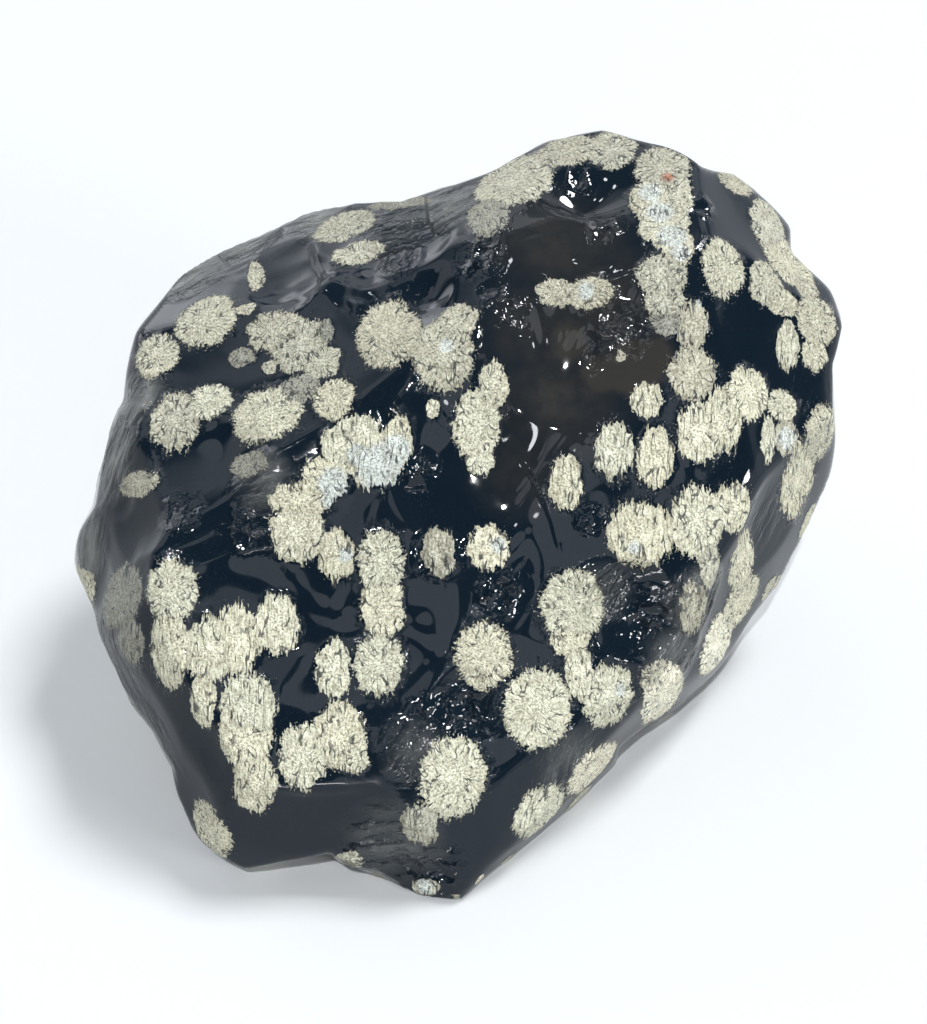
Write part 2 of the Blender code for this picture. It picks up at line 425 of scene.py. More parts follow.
# pixel x and y, radius in mm, roughness height in mm, grain in mm
TORN = {
    "bowl edge": (480, 258, 5.0, 0.60, 2.4),
    "bowl edge low": (506, 303, 4.4, 0.60, 2.4),
    "bowl middle": (622, 332, 5.4, 0.70, 2.2),
    "ledge": (604, 228, 4.0, 0.30, 2.0),
    "top": (580, 180, 3.0, 0.60, 1.8),
    "right pit": (648, 622, 6.6, 1.00, 3.0),
    "groove": (498, 596, 4.4, 0.70, 2.2),
    "dimple": (462, 712, 6.0, 0.90, 3.0),
    "dimple left": (426, 718, 4.0, 0.80, 2.2),
    "toe": (424, 872, 8.0, 0.80, 2.6),
    "toe left": (356, 858, 4.0, 0.60, 2.0),
    "fissure": (252, 526, 5.5, 0.40, 2.2),
    "hollow": (180, 512, 4.5, 0.40, 2.0),
    "right of hollow": (703, 205, 3.4, 0.60, 2.0),
    "round the square flake": (439, 553, 5.0, 0.30, 1.6),
    "left of the middle": (420, 470, 4.0, 0.20, 1.6),
    "under the row": (590, 520, 3.0, 0.20, 1.5),
}


def soft_round(points, middle, radius):
    off = ((points - middle) ** 2).sum(axis=1) / radius**2
    return np.clip(1 - off, 0, 1) ** 1.5


def pitted(points):
    taken = np.zeros(len(points))
    for x, y, radius, depth in PITS.values():
        off = ((points - near_stone(x, y)) ** 2).sum(axis=1) / radius**2
        taken += depth * np.clip(1 - off, 0, 1) ** 1.3
    return taken


def ridged(points):
    """A sharp lip along each row of corners, with its long slope on the left of the row."""
    height = np.zeros(len(points))
    for row, half_wide, rise in RIDGES.values():
        corners = [near_stone(*corner) for corner in row]
        lengths = [np.linalg.norm(b - a) for a, b in zip(corners, corners[1:])]
        whole, done, lip = sum(lengths), 0.0, np.zeros(len(points))
        for start, end, length in zip(corners, corners[1:], lengths):
            way = (end - start) / length
            run = np.clip((points - start) @ way, 0, length)
            off = points - start - run[:, None] * way
            left = off @ np.cross(start / np.linalg.norm(start), way) > 0
            reach = np.where(left, LONG_SLOPE, SHORT_DROP) * half_wide
            near = np.clip(1 - np.linalg.norm(off, axis=1) / reach, 0, 1)
            ends = np.clip(np.minimum(done + run, whole - done - run) / 3.0, 0.1, 1)
            lip = np.maximum(lip, near**1.5 * ends)
            done += length
        height = np.maximum(height, rise * lip)
    return height


def torn(points):
    height = np.zeros(len(points))
    for x, y, radius, rise, grain in TORN.values():
        where = soft_round(points, near_stone(x, y), radius)
        near = where > 0
        rough = [turbulence(Vector(p / grain), 2, True) for p in points[near]]
        height[near] += rise * where[near] * (0.4 - np.array(rough))
    return height


plain_points = rays * plain_reach[:, None]
relief = ridged(plain_points) + torn(plain_points) - pitted(plain_points)
print(f"small scars reach {-relief.min():.2f} mm in and {relief.max():.2f} mm out")

# %% [markdown]
# ## The snowflakes
#
# Each snowflake is a ball of pale crystal fibres, cut through by the surface. We write down the
# middle of each one and half its width and height, as the picture shows them, with its colour and
# how strictly its fibres run one way. Where the surface slopes away, the lines of sight through
# its edges give the true size.

# %% The snowflakes that can be seen
# x, y, half width, half height in pixels, colour, how straight the fibres run from 0 to 1
SNOWFLAKES = [
    (205, 318, 29, 24, "sand", 0.3), (156, 355, 22, 21, "sand", 0.4),
    (246, 309, 10, 6, "dull", 0.3), (275, 330, 27, 20, "dull", 0.5),
    (300, 345, 28, 26, "dull", 0.5), (322, 362, 18, 17, "sand", 0.4),
    (325, 332, 9, 12, "grey", 0.6), (242, 357, 14, 9, "grey", 0.4), (269, 367, 7, 6, "dull", 0.3),
    (300, 388, 20, 14, "grey", 0.6), (334, 399, 21, 20, "cream", 0.3),
    (267, 414, 34, 26, "cream", 0.0), (208, 402, 23, 17, "cream", 0.2),
    (175, 420, 24, 29, "dull", 0.5), (249, 464, 18, 13, "grey", 0.5),
    (138, 484, 19, 14, "dull", 0.4), (358, 428, 22, 14, "cream", 0.8),
    (340, 445, 20, 20, "cream", 0.8), (375, 460, 30, 28, "cream", 0.95),
    (398, 440, 15, 27, "cream", 0.9), (325, 478, 24, 22, "cream", 0.5),
    (300, 500, 32, 18, "cream", 0.6), (297, 532, 27, 30, "cream", 0.6),
    (389, 332, 31, 32, "sand", 0.2), (443, 352, 32, 37, "sand", 0.5),
    (457, 322, 20, 18, "sand", 0.6), (433, 410, 7, 10, "cream", 0.3),
    (477, 425, 24, 36, "cream", 0.5), (480, 460, 14, 16, "cream", 0.6),
    (494, 384, 15, 24, "cream", 0.6), (345, 227, 28, 14, "dull", 0.4),
    (358, 253, 25, 12, "dull", 0.6), (255, 275, 8, 15, "dull", 0.5), (400, 203, 30, 8, "grey", 0.4),
    (513, 180, 33, 23, "dull", 0.2), (488, 215, 20, 18, "grey", 0.6),
    (567, 150, 32, 14, "dull", 0.2), (612, 150, 25, 18, "dull", 0.2),
    (662, 168, 28, 22, "dull", 0.2), (678, 195, 15, 20, "dull", 0.5),
    (655, 200, 27, 22, "sand", 0.5), (665, 225, 25, 22, "sand", 0.5),
    (678, 245, 17, 20, "sand", 0.7), (662, 275, 25, 22, "dull", 0.5),
    (665, 302, 21, 18, "dull", 0.5), (693, 326, 16, 24, "dull", 0.7),
    (668, 322, 18, 14, "grey", 0.4), (692, 373, 25, 26, "dull", 0.6),
    (723, 268, 21, 31, "sand", 0.4), (768, 282, 16, 22, "sand", 0.5),
    (783, 303, 15, 15, "sand", 0.4), (735, 183, 13, 14, "dull", 0.3),
    (768, 225, 13, 24, "dull", 0.5), (787, 262, 18, 20, "sand", 0.3),
    (805, 285, 10, 10, "dull", 0.3), (817, 320, 20, 25, "sand", 0.4),
    (788, 346, 11, 24, "sand", 0.8), (815, 355, 13, 16, "sand", 0.5),
    (748, 394, 20, 26, "cream", 0.5), (722, 420, 20, 33, "cream", 0.7),
    (698, 433, 21, 31, "cream", 0.7), (782, 405, 15, 17, "cream", 0.3),
    (768, 440, 7, 24, "cream", 0.8), (786, 438, 12, 19, "dull", 0.7),
    (821, 437, 13, 25, "sand", 0.5), (797, 480, 13, 35, "cream", 0.7),
    (808, 520, 10, 25, "cream", 0.5), (647, 400, 17, 16, "cream", 1.0),
    (615, 451, 20, 28, "cream", 0.8), (656, 457, 19, 31, "cream", 0.8),
    (566, 481, 17, 28, "cream", 0.8), (557, 292, 20, 14, "dull", 0.4),
    (590, 292, 24, 16, "sand", 0.4), (620, 355, 6, 5, "dull", 0.2),
    (641, 534, 34, 33, "cream", 0.8), (697, 522, 27, 36, "cream", 0.6),
    (735, 508, 18, 26, "cream", 0.7), (574, 605, 32, 35, "cream", 0.15),
    (570, 640, 20, 15, "cream", 0.6), (579, 672, 14, 27, "cream", 0.7),
    (610, 698, 25, 31, "cream", 0.5), (484, 656, 29, 33, "cream", 0.3),
    (538, 709, 34, 41, "cream", 0.3), (453, 778, 33, 42, "cream", 0.4),
    (593, 768, 17, 30, "bright", 0.4), (541, 812, 20, 30, "cream", 1.0),
    (710, 567, 10, 22, "dull", 0.6), (741, 560, 10, 28, "cream", 0.7),
    (740, 602, 14, 20, "cream", 0.4), (768, 590, 10, 16, "cream", 0.4),
    (797, 588, 6, 8, "cream", 0.3), (717, 645, 14, 25, "bright", 0.5),
    (655, 675, 10, 12, "dull", 0.5), (663, 697, 13, 27, "bright", 0.6),
    (694, 610, 9, 25, "dull", 0.7), (479, 884, 5, 11, "bright", 0.9),
    (488, 548, 21, 24, "cream", 0.7), (439, 553, 17, 25, "dull", 0.9),
    (336, 555, 18, 25, "cream", 0.8), (381, 562, 24, 33, "cream", 0.4),
    (383, 607, 22, 30, "cream", 0.5), (379, 664, 25, 31, "cream", 0.5),
    (333, 669, 18, 29, "cream", 0.7), (277, 624, 22, 30, "cream", 0.9),
    (340, 735, 26, 35, "cream", 0.6), (355, 755, 15, 18, "cream", 0.6),
    (303, 757, 25, 34, "cream", 0.6), (172, 592, 26, 32, "cream", 0.4),
    (168, 650, 20, 40, "cream", 0.7), (210, 650, 26, 31, "cream", 0.7),
    (238, 640, 24, 36, "cream", 0.9), (203, 702, 13, 28, "cream", 1.0),
    (248, 708, 28, 36, "cream", 0.8), (245, 740, 28, 25, "cream", 0.6),
    (254, 785, 22, 32, "cream", 0.9), (210, 830, 27, 32, "cream", 0.5),
    (120, 597, 20, 30, "grey", 0.5), (128, 640, 12, 26, "grey", 0.8),
    (420, 826, 19, 19, "dull", 0.9), (350, 860, 13, 11, "dull", 0.4),
    (425, 887, 14, 8, "dull", 0.7),
]
# sand, dull and grey are darker copies of cream: partly crystal under a skin of glass, partly
# painted shade given to flakes that the lamps light too strongly, such as the upper ones
TINTS = {
    "cream": (0.435, 0.437, 0.345),
    "bright": (0.60, 0.59, 0.48),
    "sand": (0.35, 0.352, 0.28),
    "dull": (0.335, 0.335, 0.27),
    "grey": (0.20, 0.205, 0.175),
}
LONGEST_DRAWN = 2.2  # a flake on a slope is never drawn out more than this


def measured_flake(x, y, half_wide, half_high, tint, straight):
    """A flake's middle, fibre direction and half sizes on the stone, in mm."""
    middle = on_stone(x, y)
    if middle is None:
        middle = near_stone(x, y)
    per_px = np.linalg.norm(middle - to_lump(CAMERA_AT)) / LENS_PX
    ends = [on_stone(x, y + s * half_high * 0.8) for s in (-1, 1)]
    ends = [e for e in ends if e is not None]
    along = np.array([0.0, 1.0, 0.0])
    high = half_high * per_px
    if len(ends) == 2 and np.linalg.norm(ends[0] - ends[1]) > 0.5:
        chord = ends[0] - ends[1]
        along = chord / np.linalg.norm(chord)
        high = min(np.linalg.norm(chord) / 1.6, high * LONGEST_DRAWN)
    sides = [on_stone(x + s * half_wide * 0.8, y) for s in (-1, 1)]
    sides = [e for e in sides if e is not None]
    wide = half_wide * per_px
    if len(sides) == 2:
        wide = min(np.linalg.norm(sides[0] - sides[1]) / 1.6, wide * LONGEST_DRAWN)
    return middle, along, wide, high, TINTS[tint], straight


def varied(tint, chance):
    """The same pale colour, a little warmer, cooler or darker."""
    warm = chance.uniform(-0.015, 0.02)
    return tuple(np.array(tint) * (1 + warm, 1, 1 - warm) * chance.uniform(0.92, 1.06))


chance = np.random.default_rng(8)
flakes = [measured_flake(*seen) for seen in SNOWFLAKES]
flakes = [(*f[:4], varied(f[4], chance), f[5]) for f in flakes]
smallest, largest = min(f[2] for f in flakes), max(f[3] for f in flakes)
print(f"{len(flakes)} snowflakes, {smallest:.1f} to {largest:.1f} mm")

# %% [markdown]
# The sides that the picture doesn't show are as full of snowflakes as the one that it does. A
# seeded scatter fills them: it picks points of the unseen skin in turn, and keeps one if it is
# far enough from those that are already there.

# %% The snowflakes round the back
UNSEEN_FLAKES = 190
chance = np.random.default_rng(5)


def is_hidden(place):
    way = Vector(place) - CAMERA_AT
    hit, _, _, far = skin.ray_cast(CAMERA_AT, way.normalized())
    return far is not None and far < way.length - 0.002


middles = np.array([f[0] for f in flakes])
sizes = np.array([f[3] for f in flakes])
tries = chance.permutation(len(rays))[:9000]
added = 0
for pick in tries:
    if added == UNSEEN_FLAKES:
        break
    spot = to_lump(plain_room[pick])
    size = chance.uniform(1.6, 5.6)
    gap = np.linalg.norm(middles - spot, axis=1) - (sizes + size) * chance.uniform(0.75, 1.25)
    if gap.min() < 0 or not is_hidden(plain_room[pick]):
        continue
    leaning = np.cross(spot, chance.normal(size=3) * 0.4 + (1, 0, 0))
    leaning /= np.linalg.norm(leaning)
    tint = varied(np.array(TINTS["cream"]) * chance.uniform(0.65, 1.0), chance)
    wide = size * chance.uniform(0.7, 1.0)
    flakes.append((spot, leaning, wide, size, tint, chance.uniform(0.1, 0.9)))
    middles = np.vstack([middles, spot])
    sizes = np.append(sizes, size)
    added += 1
print(f"{added} more snowflakes on the unseen sides")

# %% [markdown]
# ## The fine surface
#
# Now the ball of directions is pushed out to the stone. The glass wears a little lower than the
# crystal, so the surface is let down between the snowflakes by a tenth of a millimetre.

# %% Which snowflake each face belongs to
CRYSTAL_STANDS = 0.12  # mm that a snowflake stands above the glass


def nearest_two(points):
    """The two snowflakes whose rims each point is deepest in, and how deep, 1 being the rim."""
    best = np.full((2, len(points)), 1e9)
    which = np.zeros((2, len(points)), int)
    for number, (middle, along, wide, high, _, _) in enumerate(flakes):
        off = points - middle
        run = off @ along
        depth = np.sqrt((off**2).sum(axis=1) - run**2 * (1 - (wide / high) ** 2)) / wide
        first, second = depth < best[0], depth < best[1]
        best[1] = np.where(first, best[0], np.where(second, depth, best[1]))
        which[1] = np.where(first, which[0], np.where(second, number, which[1]))
        best[0] = np.where(first, depth, best[0])
        which[0] = np.where(first, number, which[0])
    return best, which


depth, _ = nearest_two(plain_points)
crystal = np.clip((1.05 - depth[0]) / 0.15, 0, 1)
fine_reach = plain_reach + relief - CRYSTAL_STANDS * (1 - crystal)
fine_points = rays * cut_by_base(rays, fine_reach)[:, None]
room_points = np.clip(to_room(fine_points), cad_box[0], cad_box[1])
stone_mesh.vertices.foreach_set("co", room_points.ravel())
stone_mesh.update()
stone_mesh.shade_smooth()
stone = bpy.data.objects.new("obsidian", stone_mesh)
bpy.context.scene.collection.objects.link(stone)
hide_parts("obsidian_lump")
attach(stone, "root")

face_middles = fine_points[faces].mean(axis=1)
_, owners = nearest_two(face_middles)
print(f"crystal covers {crystal.mean():.0%} of the skin")

# %% [markdown]
# ## Notes for the finish
#
# The finish has to know where it is: which snowflake is near, and whether the glass there is
# smoky, torn or weathered. Blender keeps such notes on the mesh as attributes, one value for each
# face or point, and a material can read them back. They need no unwrapping and no image.

# %% Notes about the snowflakes


def note(name, domain, values):
    """Stores one vector or number for each face or point, for the material to read."""
    kind, field = ("FLOAT_VECTOR", "vector") if values.ndim == 2 else ("FLOAT", "value")
    made = stone_mesh.attributes.new(name, kind, domain)
    made.data.foreach_set(field, values.astype(np.float32).ravel())


table = {
    "middle": np.array([f[0] for f in flakes]),
    "fibres": np.array([f[1] for f in flakes]),
    "shape": np.array([(f[2], 1 - f[2] / f[3], f[5]) for f in flakes]),
    "tint": np.array([f[4] for f in flakes]),
}
for rank, owner in zip(("own", "next"), owners):
    for trait, values in table.items():
        note(f"{rank}_{trait}", "FACE", values[owner])
note("place", "POINT", fine_points)
print(f"{len(stone_mesh.attributes)} notes and built-in attributes on the mesh so far")

# %% [markdown]
# The other notes are soft round patches. Each is read off the picture like the scars: a pixel, a
# radius in millimetres and how strong it is in the middle.

# %% Notes about the glass and the crystal
PATCHES = {
    # where thin glass lets brown light through
    "smoke": [
        (560, 240, 15, 0.7), (600, 300, 14, 0.7), (540, 330, 13, 0.6), (560, 400, 14, 0.7),
        (520, 240, 9, 0.5), (635, 368, 6.0, 2.8), (600, 372, 5.0, 1.6), (655, 355, 4.0, 1.8),
        (520, 470, 10, 0.5), (570, 342, 5, 1.6), (555, 400, 6, 1.0),
    ],
    # where the crystal is whiter
    "bleached": [
        (382, 468, 5.4, 1), (358, 455, 2.4, 1), (396, 450, 3.2, 1), (334, 484, 3.4, 1),
        (330, 500, 1.8, 1), (650, 192, 2.6, 1), (660, 212, 3.0, 1), (672, 236, 3.2, 1),
        (680, 252, 2.2, 1), (786, 438, 2.4, 1), (425, 887, 1.8, 1), (635, 548, 1.4, 1),
        (345, 555, 1.6, 1), (498, 545, 1.6, 1), (586, 290, 1.8, 1), (446, 345, 1.6, 1),
        (700, 300, 1.2, 1), (620, 690, 1.4, 1),
    ],
    "rust": [(668, 178, 1.3, 1)],
    # where the skin of the glass is weathered to a satin
    "satin": [
        (290, 262, 11, 1.0), (230, 285, 9, 0.8), (330, 240, 9, 0.9), (200, 262, 9, 1.0),
        (210, 365, 10, 0.7), (150, 400, 8, 0.7), (110, 470, 11, 1.0), (95, 545, 10, 1.0),
        (118, 512, 9, 1.0), (110, 640, 12, 0.6), (400, 235, 12, 0.7), (460, 205, 10, 0.7),
        (180, 480, 8, 0.5), (370, 790, 7, 0.6),
    ],
    "worn": [(x, y, radius, 1) for x, y, radius, _, _ in TORN.values()],
}
for name, patches in PATCHES.items():
    strongest = np.zeros(len(fine_points))
    for x, y, radius, strength in patches:
        patch = strength * soft_round(fine_points, near_stone(x, y), radius)
        strongest = np.maximum(strongest, patch)
    note(name, "POINT", strongest)
flow = np.zeros_like(fine_points)
pale = np.zeros(len(fine_points))
for x, y, radius, way, rise, paleness_and_sheen in STREAKS.values():
    where = soft_round(fine_points, near_stone(x, y), radius)
    wins = rise * where > np.linalg.norm(flow, axis=1)
    flow[wins] = rise * where[wins][:, None] * looks_along(way, 0)
    pale = np.maximum(pale, paleness_and_sheen * where)
note("flow", "POINT", flow)
note("pale", "POINT", pale)

# %% [markdown]
# ## Shader maths in plain expressions
#
# A material is a net of nodes. Writing each sum as a node by hand hides what it does, so a small
# class wraps a socket and lets us write the sum as Python. Numbers go through Math nodes and
# places through Vector Math nodes.

# %% A socket that can be reckoned with
class Wire:
    def __init__(self, socket):
        self.socket = socket

    @property
    def is_place(self):
        return self.socket.type in ("VECTOR", "RGBA")

    def with_(self, operation, first, second):
        place = any(isinstance(w, Wire) and w.is_place for w in (first, second))
        kind = "ShaderNodeVectorMath" if place else "ShaderNodeMath"
        return self.node(kind, {"operation": operation}, {0: first, 1: second})

    def node(self, kind, settings=None, inputs=None, out=0):
        """Adds a node to this wire's net: its settings first, then its sockets."""
        made = self.socket.node.id_data.nodes.new(kind)
        for name, value in (settings or {}).items():
            setattr(made, name, value)
        for name, value in (inputs or {}).items():
            socket = made.inputs[name]
            if isinstance(value, Wire):
                made.id_data.links.new(value.socket, socket)
            elif socket.type == "VECTOR" and not hasattr(value, "__len__"):
                socket.default_value = (value,) * 3
            else:
                socket.default_value = value
        return Wire(made.outputs[out])

    def __add__(self, other):
        return self.with_("ADD", self, other)

    def __sub__(self, other):
        return self.with_("SUBTRACT", self, other)

    def __rsub__(self, other):
        return self.with_("SUBTRACT", other, self)

    def __mul__(self, other):
        return self.with_("MULTIPLY", self, other)

    def __truediv__(self, other):
        return self.with_("DIVIDE", self, other)

    __radd__ = __add__
    __rmul__ = __mul__

    def __abs__(self):
        return self.with_("ABSOLUTE", self, 0)

    def larger(self, other):
        return self.with_("MAXIMUM", self, other)

    def smaller(self, other):
        return self.with_("MINIMUM", self, other)

    def size(self):
        return Wire(self.with_("LENGTH", self, 0).socket.node.outputs["Value"])

    def dot(self, other):
        return Wire(self.with_("DOT_PRODUCT", self, other).socket.node.outputs["Value"])

    def part(self, axis):
        return self.node("ShaderNodeSeparateXYZ", None, {0: self}, axis)

    def from_to(self, start, end, low=0.0, high=1.0):
        """Runs from low to high while this wire runs from start to end, and is held outside."""
        inputs = {"Value": self, "From Min": start, "From Max": end, "To Min": low, "To Max": high}
        return self.node("ShaderNodeMapRange", {"clamp": True}, inputs)

    def noise(self, detail=2.0, roughness=0.5):
        """Cloudy noise at this place, stretched so that it nearly fills 0 to 1."""
        inputs = {"Vector": self, "Scale": 1.0, "Detail": detail, "Roughness": roughness}
        return self.node("ShaderNodeTexNoise", None, inputs).from_to(0.27, 0.73)

    def drift(self, scale, detail):
        """Three noises at this place, as a small move in any direction."""
        inputs = {"Vector": self, "Scale": scale, "Detail": detail}
        return self.node("ShaderNodeTexNoise", None, inputs, 1) - (0.5, 0.5, 0.5)

    def blend(self, first, second):
        """first where this wire is 0, second where it is 1."""
        if any(isinstance(w, tuple) or isinstance(w, Wire) and w.is_place for w in (first, second)):
            first, second = (w if isinstance(w, Wire) else (*w, 1) for w in (first, second))
            inputs = {"Factor": self, 6: first, 7: second}
            return self.node("ShaderNodeMix", {"data_type": "RGBA"}, inputs, 2)
        return first + (second - first) * self


def noted(tree, name, output="Fac"):
    """A note that was stored on the mesh: its Fac is a number, its Vector a place."""
    made = tree.nodes.new("ShaderNodeAttribute")
    made.attribute_name = name
    return Wire(made.outputs[output])


# %% [markdown]
# ## One snowflake
#
# A snowflake is a ball of crystal fibres as thin as hair, too thin for any mesh, so the finish
# draws them. It takes a place on the skin, works out how deep in the ball's rim it lies, and frays
# that rim with noise stretched along the fibres. Straight fibres all run one way and fray the
# ends. Radial ones start from the middle and fray the rim all round. A picture of fibres would be
# quicker to make, but it would smear wherever the stone turns away.

# %% How a snowflake is drawn
WHITENED = (0.385, 0.42, 0.40)
RUSTY = (0.30, 0.13, 0.075)
BETWEEN_FIBRES = (0.30, 0.28, 0.23)  # how much of the tint is left in the gaps
ON_FIBRES = (1.45, 1.45, 1.45)


def snowflake(tree, rank, place, crumple, bleached, rust):
    """How deep a place lies in a snowflake's frayed rim, and its cracks, colour and fibres."""
    middle, fibres, shape, tint = (noted(tree, f"{rank}_{trait}", "Vector") for trait in table)
    wide, squash, straight = shape.part(0), shape.part(1), shape.part(2).from_to(0.25, 0.75)
    off = place - middle + crumple
    along = off.dot(fibres)
    rounded = off - fibres * (along * squash)
    depth = rounded.size() / wide
    # the fibres: combed one way, or fanned out from the middle
    grain = place - middle + crumple * 0.3
    run = grain.dot(fibres)
    combed = (grain - fibres * run) * 2.1 + fibres * (run * 0.38)
    fanned = rounded / rounded.size() * (wide * 1.6) + grain * 0.9
    strand = straight.blend(fanned, combed) + middle * 2.3
    lines = strand.noise(2.0, 0.6)
    threads = (strand * 1.6).noise(1.0, 0.6)
    at_ends = abs(along) * (1 - squash) / rounded.size()
    fray = straight.blend(0.24, at_ends.from_to(0.2, 0.9, 0.14, 0.46))
    frayed = depth + (lines - 0.5) * fray + (threads - 0.5) * 0.08
    # where the fibres part, a dark line of glass shows between them
    patchy = (middle + off * 0.45).noise(1.0, 0.5)
    parting = abs((strand * 0.4).noise(1.0, 0.5) - 0.5)
    crack = parting.from_to(0.04, 0.10, 1.0, 0.0) * depth.from_to(0.1, 0.5)
    crack = crack * patchy.from_to(0.35, 0.5)
    heart = depth.from_to(0.05, 0.4, 0.10, 0.0)
    crumbs = (grain * 2.9 + middle).noise(1.0, 0.6)
    lines = depth.from_to(0.15, 0.65).blend(crumbs, lines)
    light = lines * 0.32 + threads * 0.26 + crumbs * 0.32 + patchy * 0.10 + heart
    light = light.from_to(0.21, 0.77)
    tint = bleached.from_to(0.15, 0.45).blend(tint, WHITENED)
    tint = rust.from_to(0.1, 0.6).blend(tint, RUSTY)
    colour = light.blend(tint * BETWEEN_FIBRES, tint * ON_FIBRES)
    return frayed, crack, colour, light


# %% [markdown]
# ## Glass and crystal
#
# The stone is one piece, so it has one material, and a mask chooses between wet black glass and
# dull crystal at every place. Each face knows the two snowflakes nearest to it. The finish draws
# both and keeps the one whose rim is nearer, so that neighbours meet along a thin dark seam.

# %% Where the crystal is
finish = bpy.data.materials.new("snowflake obsidian")
finish.use_nodes = True
tree = finish.node_tree
shader = tree.nodes["Principled BSDF"]
place = noted(tree, "place", "Vector")
bulge = place.drift(0.42, 2.0)
creases = place.drift(1.9, 1.0)
crumple = bulge * 2.0 + creases * 0.5
patches = (place, crumple, noted(tree, "bleached") + creases.part(0) * 0.8, noted(tree, "rust"))
own, own_crack, own_colour, own_light = snowflake(tree, "own", *patches)
other, other_crack, other_colour, other_light = snowflake(tree, "next", *patches)
other_is_nearer = (own - other).from_to(-0.012, 0.012)
nearest = own.smaller(other)
seam = abs(own - other).from_to(0.0, 0.05, 0.8, 0.0) * nearest.from_to(0.9, 0.5)
crack = other_is_nearer.blend(own_crack, other_crack).larger(seam)
specks = (place * 2.6).noise(1.0, 0.5).from_to(0.86, 0.92) * nearest.from_to(1.16, 1.08)
mask = nearest.from_to(1.015, 0.98).larger(specks * 0.8) * (1 - crack * 0.85)
crystal_colour = other_is_nearer.blend(own_colour, other_colour)
light = other_is_nearer.blend(own_light, other_light)

# %% [markdown]
# The glass is nearly black, smoky brown in the thin upper bowl, and grey where fine streaks run.
# That grey is partly the streaks' own tone and partly painted sheen, which stands in for the bright
# reflections on the grazing rims. The streaks follow the way in which the glass tore: the noise is
# squeezed along that way. Most of the skin is as smooth as a bottle. Weathered rims are satin,
# which we get with more roughness rather than with a paler colour.

# %% The colour and the polish of the glass
BLACK_GLASS = (0.0035, 0.0078, 0.0130)
SMOKY_GLASS = (0.024, 0.0235, 0.022)
DUSTY = (0.06, 0.062, 0.06)
# the streaks' grey: partly their own tone, partly painted sheen for the bright reflections on the
# rims
PALE_STREAK_AND_SHEEN = (0.40, 0.41, 0.385)
SATIN = 0.3  # how much rougher the weathered skin and the streaks are

cloud = (place * 0.35).noise(4.0, 0.6)
smoke = noted(tree, "smoke") * cloud.from_to(0.0, 0.9, 0.55, 1.2)
glass = smoke.blend(BLACK_GLASS, SMOKY_GLASS)
dust = (place * 5.5).noise(2.0, 0.5).from_to(0.86, 0.98) * (place * 0.12).noise().from_to(0.3, 0.9)
glass = (dust * 0.5).blend(glass, DUSTY)
flow = noted(tree, "flow", "Vector")
streak_height = flow.size()
run = flow / (streak_height + 0.0001)
drawn = place * 0.38 - run * (place.dot(run) * 0.30) + crumple * 0.2
streaks = drawn.noise(2.5, 0.55)
# painted sheen: the streaked rims are lightened in colour, partly in place of their reflections
pale = noted(tree, "pale") * streaks.from_to(0.25, 0.75, 0.25, 1.0)
glass = pale.blend(glass, PALE_STREAK_AND_SHEEN)
worn = noted(tree, "worn")
smudge = (place * 0.22).noise(3.0, 0.6)
glassy = 0.02 + smudge.from_to(0.4, 1.0, 0.0, 0.05) + worn * 0.04 + pale * SATIN
glassy = glassy + noted(tree, "satin") * SATIN

# %% [markdown]
# Torn places are covered with chips. Each cell of a Voronoi net stands for one: a small hollow,
# tilted its own way, so that it throws back its own glint. A bump does this well, as the chips are
# far shallower than they are wide, and it lets the crystal stand up a little too. A bump works
# its height out three times at each place, so here the nearer snowflake alone is enough.

# %% Chips, streaks and crystal in relief
chips = place * 0.32 + bulge * 0.7
leaning = {0: chips.dot((1, 0, 0.4)), 1: chips.dot((0, 1, 0.6))}  # flat, yet never seen edge on
chips = chips.node("ShaderNodeCombineXYZ", None, leaning)
flat = {"voronoi_dimensions": "2D"}  # a third of the cells to search
cell = chips.node("ShaderNodeTexVoronoi", flat, {"Vector": chips, "Scale": 1.0})
way = Wire(cell.socket.node.outputs["Color"]) - (0.5, 0.5, 0.5)
cell_middle = Wire(cell.socket.node.outputs["Position"])
scar = (chips - cell_middle).dot(way) * 1.6 + cell * cell * 1.1
near_rim = own.from_to(1.30, 1.04) * (place * 0.16).noise(1.0, 0.5).from_to(0.5, 0.75)
chipped = scar * worn.larger(near_rim * 0.22)
raised = own.from_to(1.015, 0.98) * (0.05 + own_light * 0.12)
height = chipped * 1.5 + streaks * streak_height * 4.4 + raised
bump = mask.node("ShaderNodeBump", None, {"Height": height, "Strength": 1.0, "Distance": 0.001})

# %% Put the finish together
GLASS_IOR = 1.38

tree.links.new(mask.blend(glass, crystal_colour).socket, shader.inputs["Base Color"])
tree.links.new(mask.blend(glassy, 0.62 - light * 0.12).socket, shader.inputs["Roughness"])
tree.links.new(bump.socket, shader.inputs["Normal"])
shader.inputs["IOR"].default_value = GLASS_IOR
stone_mesh.materials.append(finish)
print(f"{len(tree.nodes)} nodes in the stone's finish")

# %% [markdown]
# ## The floor
#
# The picture's stone lies on white cloth that is too bright for its threads to show. A plain matt
# floor does the same work, and a little less than white keeps the shadow soft.

# %% The floor
floor_mesh = bpy.data.meshes.new("floor")
floor_mesh.from_pydata([(-3, -3, 0), (3, -3, 0), (3, 3, 0), (-3, 3, 0)], [], [(0, 1, 2, 3)])
floor = bpy.data.objects.new("floor", floor_mesh)
bpy.context.scene.collection.objects.link(floor)
paper = bpy.data.materials.new("pale floor")
paper.use_nodes = True
matt = paper.node_tree.nodes["Principled BSDF"]
matt.inputs["Base Color"].default_value = (0.475, 0.495, 0.51, 1)
matt.inputs["Roughness"].default_value = 0.9
matt.inputs["IOR"].default_value = 1.2
floor_mesh.materials.append(paper)

# %% [markdown]
# ## Pale things in the room
#
# Black glass shows what is round it more than it shows itself. The grey patches on it are pale
# things in the room, mirrored. Modelling a whole room for them would be guesswork, so we go the
# other way: we take the pixel where the picture shows a reflection, follow the line of sight to
# the stone and off it again, and brighten the room in that direction.

